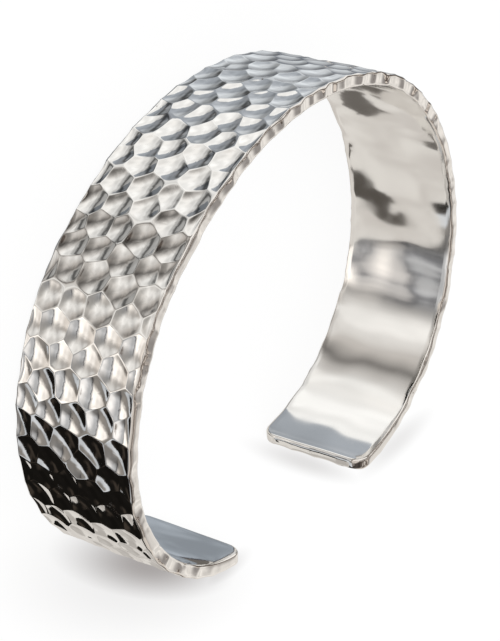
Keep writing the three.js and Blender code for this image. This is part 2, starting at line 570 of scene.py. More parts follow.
class Graph:
    """Adds nodes to a node tree and links them by what feeds them."""

    def __init__(self, tree: bpy.types.NodeTree) -> None:
        """Keeps the tree."""
        self.tree = tree

    def node(self, kind: str, feeds: dict | None = None, **settings: object) -> bpy.types.Node:
        """Adds a node.

        Args:
            kind: The node's type.
            feeds: For each input, by name or number, a value or the socket that feeds it.
            settings: The node's own settings.

        Returns:
            The node.
        """
        node = self.tree.nodes.new(kind)
        for name, value in settings.items():
            setattr(node, name, value)
        for key, value in (feeds or {}).items():
            if isinstance(value, bpy.types.NodeSocket):
                self.tree.links.new(value, node.inputs[key])
            else:
                node.inputs[key].default_value = value
        return node

    def math(self, operation: str, *values: object, clamp: bool = False) -> bpy.types.NodeSocket:
        """Adds a Math node on sockets or numbers and returns its output."""
        node = self.node("ShaderNodeMath", dict(enumerate(values)), operation=operation, use_clamp=clamp)
        return node.outputs[0]

    def vector(self, operation: str, *values: object) -> bpy.types.NodeSocket:
        """Adds a Vector Math node on sockets or vectors and returns its vector."""
        node = self.node("ShaderNodeVectorMath", dict(enumerate(values)), operation=operation)
        return node.outputs[0]

    def scaled(self, vector: object, scale: object) -> bpy.types.NodeSocket:
        """Adds a Vector Math node that scales a vector and returns the result."""
        node = self.node("ShaderNodeVectorMath", {0: vector, "Scale": scale}, operation="SCALE")
        return node.outputs[0]

    def parts(self, vector: bpy.types.NodeSocket) -> bpy.types.NodeOutputs:
        """Takes a vector apart and returns its X, Y and Z."""
        return self.node("ShaderNodeSeparateXYZ", {0: vector}).outputs

    def object_place(self) -> bpy.types.NodeSocket:
        """Returns the place on the object that a material dresses."""
        return self.node("ShaderNodeTexCoord").outputs["Object"]

    def noise(self, place: bpy.types.NodeSocket, scale: float, detail: float) -> bpy.types.NodeSocket:
        """Adds a Noise Texture node and returns its value, from 0 to 1."""
        feeds = {"Vector": place, "Scale": scale, "Detail": detail}
        return self.node("ShaderNodeTexNoise", feeds).outputs[0]

    def swing(self, noise: bpy.types.NodeSocket, reach: object) -> bpy.types.NodeSocket:
        """Centres a noise's value on 0, stretches it and returns the result."""
        return self.math("MULTIPLY", self.math("SUBTRACT", noise, NOISE_MIDDLE), reach)

    def between(
        self,
        value: object,
        low: float,
        high: float,
        start: float = 0.0,
        end: float = 1.0,
    ) -> bpy.types.NodeSocket:
        """Adds a smooth Map Range node and returns its output."""
        feeds = {"Value": value, "From Min": low, "From Max": high, "To Min": start, "To Max": end}
        return self.node("ShaderNodeMapRange", feeds, interpolation_type="SMOOTHSTEP").outputs[0]

    def mixed(self, share: bpy.types.NodeSocket, first: object, second: object) -> bpy.types.NodeSocket:
        """Adds a Mix node on two colours and returns the result."""
        node = self.node("ShaderNodeMix", {"Factor": share, "A": first, "B": second}, data_type="RGBA")
        return node.outputs["Result"]


@dataclass(frozen=True)
class EdgeAndRipple:
    """How the strip's edge was hammered, and how that left its inner face.

    The scatter moves the blows on the edge astray, the crowding brings their facets together, and
    the softest blow and the calm share say how much of the depth is left at least. A swing brings
    a noise up to the height that follows it.
    """

    facet_pitch: float = 2.5 * MM
    facet_height: float = 4.5 * MM
    facet_depth: float = 0.17 * MM
    facet_flatness: float = 2.2
    facet_seed: float = 17.0
    facet_scatter: float = 0.9
    facet_crowding: float = 1.6
    softest_blow: float = 0.6
    calm_start: float = 3.5 * MM
    calm_reach: float = 14 * MM
    calm_share: float = 0.1
    ripple_size: float = 9 * MM
    ripple_height: float = 0.05 * MM
    ripple_swing: float = 4.0
    border_size: float = 3.4 * MM
    border_height: float = 0.1 * MM
    border_reach: float = 2.6 * MM
    border_swing: float = 3.0


@dataclass(frozen=True)
class BendingTree:
    """The Geometry Nodes that hammer the strip's edge, ripple its inner face and bend it."""

    strip: Strip
    marks: EdgeAndRipple
    silver: bpy.types.Material

    def inputs(self, line: bpy.types.Object) -> dict[str, tuple[str, object]]:
        """Lists the tree's inputs.

        Args:
            line: The centre line's object.

        Returns:
            For each input's name, its kind of socket and its value.
        """
        return {
            "Centre Line": ("NodeSocketObject", line),
            "Length": ("NodeSocketFloat", self.strip.length),
            "Half Width": ("NodeSocketFloat", self.strip.width / 2),
            "Facet Pitch": ("NodeSocketFloat", self.marks.facet_pitch),
            "Facet Height": ("NodeSocketFloat", self.marks.facet_height),
            "Facet Depth": ("NodeSocketFloat", self.marks.facet_depth),
            "Facet Flatness": ("NodeSocketFloat", self.marks.facet_flatness),
            "Facet Seed": ("NodeSocketFloat", self.marks.facet_seed),
            "Ripple Size": ("NodeSocketFloat", self.marks.ripple_size),
            "Ripple Height": ("NodeSocketFloat", self.marks.ripple_height),
            "Border Size": ("NodeSocketFloat", self.marks.border_size),
            "Border Height": ("NodeSocketFloat", self.marks.border_height),
            "Border Reach": ("NodeSocketFloat", self.marks.border_reach),
            "Silver": ("NodeSocketMaterial", self.silver),
        }

    def build(self, line: bpy.types.Object) -> bpy.types.NodeTree:
        """Builds the tree.

        Args:
            line: The centre line's object.

        Returns:
            The tree, which takes the flat strip and gives the cuff.
        """
        tree = bpy.data.node_groups.new("bend_the_strip", "GeometryNodeTree")
        tree.interface.new_socket("Geometry", in_out="INPUT", socket_type="NodeSocketGeometry")
        for name, (kind, _) in self.inputs(line).items():
            tree.interface.new_socket(name, in_out="INPUT", socket_type=kind)
        tree.interface.new_socket("Geometry", in_out="OUTPUT", socket_type="NodeSocketGeometry")
        graph = Graph(tree)
        given = graph.node("NodeGroupInput").outputs
        place = graph.node("GeometryNodeInputPosition").outputs[0]
        along, across, height = graph.parts(place)
        pushed = graph.vector("ADD", place, self.facets(graph, given, along, height))
        pushed_along, pushed_across, _ = graph.parts(pushed)
        raised = graph.math("ADD", height, self.ripple(graph, given, along, across))
        bent = self.bent(graph, given, pushed_along, pushed_across, raised)
        moved = graph.node("GeometryNodeSetPosition", {"Geometry": given["Geometry"], "Position": bent})
        smooth = graph.node("GeometryNodeSetShadeSmooth", {"Geometry": moved.outputs[0]})
        real = graph.node("GeometryNodeRealizeInstances", {"Geometry": smooth.outputs[0]})
        dressing = {"Geometry": real.outputs[0], "Material": given["Silver"]}
        silver = graph.node("GeometryNodeSetMaterial", dressing)
        graph.node("NodeGroupOutput", {0: silver.outputs[0]})
        return tree

    @staticmethod
    def attribute(graph: Graph, stored: Stored, kind: str = "FLOAT") -> bpy.types.NodeSocket:
        """Reads one of the values that the flat strip stores."""
        node = graph.node("GeometryNodeInputNamedAttribute", {"Name": stored.value}, data_type=kind)
        return node.outputs["Attribute"]

    def facets(
        self,
        graph: Graph,
        given: bpy.types.NodeOutputs,
        along: bpy.types.NodeSocket,
        height: bpy.types.NodeSocket,
    ) -> bpy.types.NodeSocket:
        """Pushes the edge inwards in a row of shallow hammered facets, fainter near the strip's ends.

        Args:
            graph: The tree.
            given: The tree's inputs.
            along: s.
            height: h.

        Returns:
            The push, as a vector in s, w and h.
        """
        marks = self.marks
        place = graph.math("DIVIDE", self.attribute(graph, Stored.ALONG_RIM), given["Facet Pitch"])
        turn = graph.math("ADD", place, given["Facet Seed"])
        level = graph.math("DIVIDE", height, given["Facet Height"])
        spot = graph.node("ShaderNodeCombineXYZ", {0: turn, 1: level}).outputs[0]
        feeds = {"Vector": spot, "Scale": 1.0, "Randomness": marks.facet_scatter}
        blow = graph.node("ShaderNodeTexVoronoi", feeds, voronoi_dimensions="2D", feature="F1")
        reach = graph.math("MULTIPLY", blow.outputs["Distance"], marks.facet_crowding)
        steep = graph.math("POWER", reach, given["Facet Flatness"])
        scoop = graph.math("SUBTRACT", 1.0, steep, clamp=True)
        hardness = graph.math("ADD", graph.parts(blow.outputs["Color"])[0], marks.softest_blow)
        to_end = graph.math("MINIMUM", along, graph.math("SUBTRACT", given["Length"], along))
        firmness = graph.between(to_end, marks.calm_start, marks.calm_reach, marks.calm_share, 1.0)
        depth = graph.math("MULTIPLY", given["Facet Depth"], hardness)
        depth = graph.math("MULTIPLY", depth, firmness)
        push = graph.math("MULTIPLY", graph.math("MULTIPLY", scoop, depth), -1.0)
        return graph.scaled(self.attribute(graph, Stored.OUTWARD, "FLOAT_VECTOR"), push)

    def ripple(
        self,
        graph: Graph,
        given: bpy.types.NodeOutputs,
        along: bpy.types.NodeSocket,
        across: bpy.types.NodeSocket,
    ) -> bpy.types.NodeSocket:
        """Makes the inner face a little wavy, and more so in short waves near its lower border.

        Args:
            graph: The tree.
            given: The tree's inputs.
            along: s.
            across: w.

        Returns:
            The height that is added.
        """
        place = graph.node("ShaderNodeCombineXYZ", {0: along, 1: across}).outputs[0]
        wide = graph.scaled(place, graph.math("DIVIDE", 1.0, given["Ripple Size"]))
        swell = graph.swing(graph.noise(wide, scale=1.0, detail=1.0), self.marks.ripple_swing)
        swell = graph.math("MULTIPLY", swell, given["Ripple Height"])
        feeds = {"W": graph.math("DIVIDE", along, given["Border Size"]), "Scale": 1.0, "Detail": 0.0}
        short = graph.node("ShaderNodeTexNoise", feeds, noise_dimensions="1D")
        wave = graph.swing(short.outputs[0], self.marks.border_swing)
        wave = graph.math("MULTIPLY", wave, given["Border Height"])
        margin = graph.math("ADD", given["Half Width"], across)
        away = graph.math("DIVIDE", margin, given["Border Reach"])
        close = graph.math("SUBTRACT", 1.0, away, clamp=True)
        wave = graph.math("MULTIPLY", wave, graph.math("MULTIPLY", close, close))
        both = graph.math("ADD", swell, wave)
        return graph.math("MULTIPLY", both, self.attribute(graph, Stored.INSIDE))

    @staticmethod
    def bent(
        graph: Graph,
        given: bpy.types.NodeOutputs,
        along: bpy.types.NodeSocket,
        across: bpy.types.NodeSocket,
        height: bpy.types.NodeSocket,
    ) -> bpy.types.NodeSocket:
        """Wraps the flat strip round the centre line.

        Args:
            graph: The tree.
            given: The tree's inputs.
            along: s.
            across: w.
            height: h.

        Returns:
            Each vertex's position on the cuff.
        """
        line = graph.node("GeometryNodeObjectInfo", {"Object": given["Centre Line"]})
        curve = graph.node("GeometryNodeMeshToCurve", {"Mesh": line.outputs["Geometry"]})
        feeds = {"Curves": curve.outputs[0], "Length": along}
        sample = graph.node("GeometryNodeSampleCurve", feeds, mode="LENGTH")
        up = graph.node("ShaderNodeCombineXYZ", {2: 1.0}).outputs[0]
        outwards = graph.vector("CROSS_PRODUCT", sample.outputs["Tangent"], up)
        rise = graph.scaled(up, graph.math("ADD", across, given["Half Width"]))
        depth = graph.scaled(outwards, height)
        return graph.vector("ADD", graph.vector("ADD", sample.outputs["Position"], depth), rise)

    def apply(self, flat: bpy.types.Object) -> bpy.types.Object:
        """Runs the tree on the flat strip and keeps the result as a plain mesh.

        Args:
            flat: The flat strip.

        Returns:
            The bent cuff.
        """
        points = self.strip.centre_line()
        mesh = bpy.data.meshes.new("centre_line")
        links = [(i, i + 1) for i in range(len(points) - 1)]
        mesh.from_pydata(np.column_stack((points, np.zeros(len(points)))).tolist(), links, [])
        line = bpy.data.objects.new("centre_line", mesh)
        bpy.context.scene.collection.objects.link(line)
        modifier = flat.modifiers.new("bend", "NODES")
        modifier.node_group = self.build(line)
        values = self.inputs(line)
        for item in modifier.node_group.interface.items_tree:
            if item.in_out == "INPUT" and item.name in values:
                modifier[item.identifier] = values[item.name][1]
        bpy.context.view_layer.update()
        depsgraph = bpy.context.evaluated_depsgraph_get()
        bent = bpy.data.meshes.new_from_object(flat.evaluated_get(depsgraph))
        flat.modifiers.remove(modifier)
        flat.data = bent
        bent.name = flat.name
        bpy.data.objects.remove(line)
        for stored in (Stored.OUTWARD, Stored.ALONG_RIM):
            bent.attributes.remove(bent.attributes[stored.value])
        return flat


@dataclass(frozen=True)
class ScratchLayer:
    """Fine scratches that run one way, by the turn of their pattern and its scale on each axis."""

    turn: float
    stretch: tuple[float, float, float]


@dataclass(frozen=True)
class PolishedSilver:
    """Sterling silver polished to a mirror, with fine scratches and a few dark pits."""

    name: str = "polished_silver"
    colour: Colour = (0.93, 0.92, 0.9, 1)
    outer_roughness: float = 0.035
    inner_roughness: float = 0.07
    haze: float = 0.05
    haze_scale: float = 300.0
    haze_range: tuple[float, float] = (0.45, 0.75)
    pit_colour: Colour = (0.12, 0.09, 0.06, 1)
    pit_size: float = 0.9 * MM
    pit_reach: float = 0.2
    pit_fade: float = 0.06
    pit_dullness: float = 0.4
    pit_group_scale: float = 160.0
    pit_group_range: tuple[float, float] = (0.58, 0.72)
    scratch_layers: tuple[ScratchLayer, ...] = (
        ScratchLayer(0.4, (9000.0, 9000.0, 500.0)),
        ScratchLayer(1.3, (700.0, 700.0, 8000.0)),
    )
    scratch_range: tuple[float, float] = (0.3, 0.42)
    scratch_height: float = 0.004 * MM
    scratch_strength: float = 0.04

    def material(self) -> bpy.types.Material:
        """Builds the material.

        Returns:
            The material, which reads the cuff's own inside values.
        """
        material = bpy.data.materials.new(self.name)
        material.use_nodes = True
        tree = material.node_tree
        tree.nodes.clear()
        graph = Graph(tree)
        place = graph.object_place()
        pits = self.pits(graph, place)
        shader = graph.node("ShaderNodeBsdfPrincipled", {
            "Base Color": graph.mixed(pits, self.colour, self.pit_colour),
            "Metallic": 1.0,
            "Roughness": self.roughness(graph, place, pits),
            "Normal": self.scratches(graph, place),
        })
        graph.node("ShaderNodeOutputMaterial", {"Surface": shader.outputs[0]})
        return material

    @staticmethod
    def inside(graph: Graph) -> bpy.types.NodeSocket:
        """Reads how far a place belongs to the inner face, from 0 to 1."""
        return graph.node("ShaderNodeAttribute", attribute_name=Stored.INSIDE.value).outputs["Fac"]

    def pits(self, graph: Graph, place: bpy.types.NodeSocket) -> bpy.types.NodeSocket:
        """Scatters small dark pits in loose groups over the outer face.

        Args:
            graph: The material's tree.
            place: The place on the cuff.

        Returns:
            A mask.
        """
        spots = graph.node("ShaderNodeTexVoronoi", {"Vector": place, "Scale": 1 / self.pit_size})
        groups = graph.noise(place, self.pit_group_scale, detail=2.0)
        limit = graph.between(groups, *self.pit_group_range, 0.0, self.pit_reach)
        within = graph.math("SUBTRACT", limit, spots.outputs["Distance"])
        outer = graph.math("SUBTRACT", 1.0, self.inside(graph))
        return graph.math("MULTIPLY", graph.between(within, 0.0, self.pit_fade), outer)

    def roughness(
        self,
        graph: Graph,
        place: bpy.types.NodeSocket,
        pits: bpy.types.NodeSocket,
    ) -> bpy.types.NodeSocket:
        """Makes the inner face softer than the outer, and the polish a little uneven.

        Args:
            graph: The material's tree.
            place: The place on the cuff.
            pits: The pits' mask.

        Returns:
            The roughness.
        """
        base = graph.between(self.inside(graph), 0.0, 1.0, self.outer_roughness, self.inner_roughness)
        clouds = graph.noise(place, self.haze_scale, detail=3.0)
        haze = graph.between(clouds, *self.haze_range, 0.0, self.haze)
        dull = graph.math("MULTIPLY", pits, self.pit_dullness)
        return graph.math("ADD", graph.math("ADD", base, haze), dull)

    def scratches(self, graph: Graph, place: bpy.types.NodeSocket) -> bpy.types.NodeSocket:
        """Lays fine scratches in two directions.

        Args:
            graph: The material's tree.
            place: The place on the cuff.

        Returns:
            The bumped normal.
        """
        total = None
        for layer in self.scratch_layers:
            mapped = graph.node("ShaderNodeMapping", {
                "Vector": place,
                "Rotation": (layer.turn, layer.turn / 2, 0.0),
                "Scale": layer.stretch,
            })
            grain = graph.noise(mapped.outputs[0], scale=1.0, detail=1.0)
            height = graph.between(grain, *self.scratch_range)
            total = height if total is None else graph.math("MULTIPLY", total, height)
        bump = graph.node("ShaderNodeBump", {
            "Height": total,
            "Distance": self.scratch_height,
            "Strength": self.scratch_strength,
        })
        return bump.outputs["Normal"]


@dataclass(frozen=True)
class Camera:
    """The photograph's view of the cuff."""

    position: tuple[float, float, float] = (-0.1528, 0.0733, 0.1057)
    aim: tuple[float, float, float] = (-0.00138, -0.00248, 0.00678)
    roll_degrees: float = 105.58
    lens_mm: float = 103.24
    sensor_mm: float = 36.0
    nearest: float = 5 * MM

    def build(self) -> None:
        """Places the camera."""
        data = bpy.data.cameras.new("camera")
        data.lens = self.lens_mm
        data.sensor_width = self.sensor_mm
        data.clip_start = self.nearest
        camera = bpy.data.objects.new("camera", data)
        look = Vector(self.aim) - Vector(self.position)
        upright = look.to_track_quat("-Z", "Y").to_matrix().to_4x4()
        roll = Matrix.Rotation(math.radians(-self.roll_degrees), 4, look.normalized())
        camera.matrix_world = Matrix.Translation(self.position) @ roll @ upright
        bpy.context.scene.collection.objects.link(camera)
        bpy.context.scene.camera = camera
        bpy.context.scene.view_settings.view_transform = "Standard"


@dataclass(frozen=True)
class Patch:
    """A soft dark patch on a card, an oval by its middle, its reaches and its turn."""

    what: str
    middle: tuple[float, float]
    reach: tuple[float, float]
    degrees: float
    strength: float = 1.0


@dataclass(frozen=True)
class Patches:
    """The patches on one card, with how far their edges fade and how ragged they are."""

    ovals: tuple[Patch, ...]
    softness: float
    ragged: float
    noise_scale: float = 140.0

    def mask(self, graph: Graph) -> bpy.types.NodeSocket:
        """Draws the patches.

        Args:
            graph: The card's tree.

        Returns:
            A mask, which holds the strongest patch at each place.
        """
        place = graph.object_place()
        rough = graph.swing(graph.noise(place, self.noise_scale, detail=3.0), self.ragged)
        total = None
        for patch in self.ovals:
            oval = graph.node("ShaderNodeMapping", {
                "Vector": place,
                "Location": (patch.middle[0] * MM, patch.middle[1] * MM, 0),
                "Rotation": (0, 0, math.radians(patch.degrees)),
                "Scale": (patch.reach[0] * MM, patch.reach[1] * MM, 1),
            }, vector_type="TEXTURE", label=patch.what)
            flat = graph.vector("MULTIPLY", oval.outputs[0], (1, 1, 0))
            length = graph.node("ShaderNodeVectorMath", {0: flat}, operation="LENGTH").outputs["Value"]
            reach = graph.math("ADD", length, rough)
            mask = graph.between(reach, 1 - self.softness, 1 + self.softness, patch.strength, 0.0)
            total = mask if total is None else graph.math("MAXIMUM", total, mask)
        return total


class Unseen(Enum):
    """Who doesn't see a card, by the rays that pass it by."""

    BY_THE_SILVER = ("visible_glossy",)
    BY_ALL_BUT_THE_SILVER = ("visible_camera", "visible_diffuse", "visible_shadow")


@dataclass(frozen=True)
class Card:
    """A flat card, by its corners in millimetres, anticlockwise as its face shows them."""

    name: str
    corners: tuple[tuple[float, float, float], ...]
    unseen: Unseen

    def build(self) -> bpy.types.Object:
        """Hangs or lays the card.

        Returns:
            The card, which isn't part of the cuff.
        """
        mesh = bpy.data.meshes.new(self.name)
        places = [tuple(value * MM for value in corner) for corner in self.corners]
        mesh.from_pydata(places, [], [range(len(places))])
        card = bpy.data.objects.new(self.name, mesh)
        bpy.context.scene.collection.objects.link(card)
        for rays in self.unseen.value:
            setattr(card, rays, False)
        return card


@dataclass(frozen=True)
class Floor:
    """The pale floor, with the soft shadows that the photograph has under the cuff's two ends."""

    size: float = 3.0
    colour: Colour = (0.11, 0.11, 0.11, 1)
    roughness: float = 0.9
    glow_colour: Colour = (0.905, 0.905, 0.905, 1)
    shadow_colour: Colour = (0.04, 0.01, 0.0, 1)
    shadows: Patches = Patches(
        (
            Patch("under the left end, close", (-10.2, -30.6), (12.5, 2.9), -30, 0.7),
            Patch("under the left end, wide", (-12, -32), (17, 5), -28, 0.16),
            Patch("under the left tip", (3.5, -38.2), (4.5, 1.5), -6, 0.32),
            Patch("under the right end", (22.5, -31.4), (10.5, 1.1), -31, 0.27),
            Patch("beside the right end", (46, -38.2), (7, 1.9), 2, 0.2),
        ),
        softness=0.9,
        ragged=0.0,
    )

    def build(self) -> None:
        """Lays the floor, which only the camera and the shadows see."""
        half = self.size / 2 / MM
        corners = ((-half, -half, 0), (half, -half, 0), (half, half, 0), (-half, half, 0))
        floor = Card("floor", corners, Unseen.BY_THE_SILVER).build()
        material = bpy.data.materials.new("pale_floor")
        material.use_nodes = True
        graph = Graph(material.node_tree)
        shader = material.node_tree.nodes["Principled BSDF"]
        shader.inputs["Base Color"].default_value = self.colour
        shader.inputs["Roughness"].default_value = self.roughness
        shader.inputs["Specular IOR Level"].default_value = 0.0
        glow = graph.mixed(self.shadows.mask(graph), self.glow_colour, self.shadow_colour)
        graph.tree.links.new(glow, shader.inputs["Emission Color"])
        shader.inputs["Emission Strength"].default_value = 1.0
        floor.data.materials.append(material)


@dataclass(frozen=True)
class MirroredCards:
    """The cards that only the silver sees: a beige sheet under the floor, and blue-grey ones."""

    sheet_outline: tuple[tuple[float, float], ...] = (
        (-17, -46),
        (-22, -53),
        (-28, -61),
        (-43, -69),
        (-52, -79),
        (-44, -95),
        (110, -95),
        (110, 20),
        (60, 20),
        (26, -8),
        (-5, -10),
        (-31, -24),
        (-34, -33),
        (-27, -41),
    )
    sheet_depth: float = 20 * MM
    sheet_colours: tuple[Colour, Colour] = ((0.62, 0.585, 0.55, 1), (0.76, 0.73, 0.69, 1))
    sheet_patches: Patches = Patches(
        (
            Patch("near patch", (-1, -26.5), (14, 4.2), 8),
            Patch("far patch", (41, -26), (6, 10), -40, 0.9),
            Patch("last patch", (54, -14), (5, 5), 0, 0.8),
            Patch("patch by the rim", (21, -57), (5, 4.5), 0, 0.9),
            Patch("dimmer end", (-24, -73), (27, 13), 8, 0.3),
        ),
        softness=0.05,
        ragged=2.0,
    )
    patch_colour: Colour = (0.09, 0.08, 0.07, 1)
    blue_outline: tuple[tuple[float, float], ...] = (
        (-4, -19.5),
        (-34, -19.5),
        (-34, -12),
        (-28.5, -7.8),
        (-21.5, -4.5),
        (-18, -1),
        (-4, 0),
    )
    blue_place: float = 11
    blue_colour: Colour = (0.36, 0.40, 0.45)
    blue_shades: tuple[float, float] = (0.72, 1.2)
    seam_shift: tuple[float, float, float] = (0.6, 0.5, 0.5)
    seam_colour: Colour = (0.07, 0.07, 0.08)
    sheet_cloud_scale: float = 70.0
    blue_cloud_scale: float = 90.0
    cloud_detail: float = 2.0
    cloud_range: tuple[float, float] = (0.35, 0.65)

    def build(self) -> None:
        """Builds the beige sheet and the blue-grey cards."""
        self.beige_sheet()
        self.blue_cards()

    def beige_sheet(self) -> None:
        """Lays the beige sheet under the floor that the inside of the cuff mirrors."""
        corners = tuple((x, y, -self.sheet_depth / MM) for x, y in self.sheet_outline)
        graph, glow = self.lit(Card("beige_sheet", corners, Unseen.BY_ALL_BUT_THE_SILVER))
        clouds = graph.noise(graph.object_place(), self.sheet_cloud_scale, self.cloud_detail)
        pale = graph.mixed(graph.between(clouds, *self.cloud_range), *self.sheet_colours)
        dark = self.sheet_patches.mask(graph)
        graph.tree.links.new(graph.mixed(dark, pale, self.patch_colour), glow)

    def blue_cards(self) -> None:
        """Hangs the card that the left terminal's inside mirrors, and a dark one past its rim."""
        for name, shift, colour in (
            ("blue_card", (0, 0, 0), self.blue_colour),
            ("blue_card_seam", self.seam_shift, self.seam_colour),
        ):
            across, back, up = shift
            corners = tuple((self.blue_place + across, y + back, z + up) for y, z in self.blue_outline)
            graph, glow = self.lit(Card(name, corners, Unseen.BY_ALL_BUT_THE_SILVER))
            clouds = graph.noise(graph.object_place(), self.blue_cloud_scale, self.cloud_detail)
            shade = graph.between(clouds, *self.cloud_range, *self.blue_shades)
            graph.tree.links.new(graph.scaled(colour, shade), glow)

    @staticmethod
    def lit(card: Card) -> tuple[Graph, bpy.types.NodeSocket]:
        """Builds a card whose face glows and whose back is clear.

        Args:
            card: The card.

        Returns:
            Its material's tree, and the input that takes its colour.
        """
        material = bpy.data.materials.new(card.name)
        material.use_nodes = True
        tree = material.node_tree
        tree.nodes.clear()
        graph = Graph(tree)
        glow = graph.node("ShaderNodeEmission", {"Strength": 1.0})
        behind = graph.node("ShaderNodeNewGeometry").outputs["Backfacing"]
        clear = graph.node("ShaderNodeBsdfTransparent")
        face = graph.node("ShaderNodeMixShader", {0: behind, 1: glow.outputs[0], 2: clear.outputs[0]})
        graph.node("ShaderNodeOutputMaterial", {"Surface": face.outputs[0]})
        card.build().data.materials.append(material)
        return graph, glow.inputs["Color"]


@dataclass(frozen=True)
class Tone:
    """A tone that the room shows from one place on, along a ring or up a wall.

    A ring's places are degrees about the upright from +X on, and a wall's are heights from -1,
    straight below, to 1, straight above.
    """

    what: str
    start: float
    colour: tuple[float, float, float]
    fade: float = 2.0


@dataclass(frozen=True)
class Wall:
    """The tones up one wall, with where it starts round the ring and how it takes over.

    Its start is in degrees, and its fade is a share of a whole turn to either side of the start.
    """

    start: float
    fade: float
    tones: tuple[Tone, ...]


@dataclass(frozen=True)
class Reflector:
    """The round reflector that lights the cuff's upper edge, and the dark card overhead."""

    towards: tuple[float, float, float] = (0.79, -0.54, 0.28)
    edge_degrees: tuple[float, float] = (29, 33)
    low_colour: Colour = (0.84, 0.80, 0.755, 1)
    high_colour: Colour = (0.33, 0.305, 0.29, 1)
    fading_heights: tuple[float, float] = (0.38, 0.70)
    overhead_colour: Colour = (0.13, 0.105, 0.09, 1)
    overhead_heights: tuple[float, float] = (0.64, 0.72)
    overhead_scale: float = 9.0
    overhead_breaks: tuple[float, float] = (0.42, 0.52)

    def before(
        self,
        graph: Graph,
        direction: bpy.types.NodeSocket,
        behind: bpy.types.NodeSocket,
    ) -> bpy.types.NodeSocket:
        """Hangs the reflector and the card before the room.

        Args:
            graph: The world's tree.
            direction: The direction.
            behind: The room's colour.

        Returns:
            The colour.
        """
        height = graph.parts(direction)[2]
        clouds = graph.noise(direction, self.overhead_scale, detail=2.0)
        broken = graph.between(clouds, *self.overhead_breaks)
        overhead = graph.math("MULTIPLY", graph.between(height, *self.overhead_heights), broken)
        behind = graph.mixed(overhead, behind, self.overhead_colour)
        feeds = {0: direction, 1: self.towards}
        facing = graph.node("ShaderNodeVectorMath", feeds, operation="DOT_PRODUCT").outputs["Value"]
        inner, outer = (math.cos(math.radians(degrees)) for degrees in self.edge_degrees)
        fading = graph.between(height, *self.fading_heights)
        colour = graph.mixed(fading, self.low_colour, self.high_colour)
        return graph.mixed(graph.between(facing, outer, inner), behind, colour)


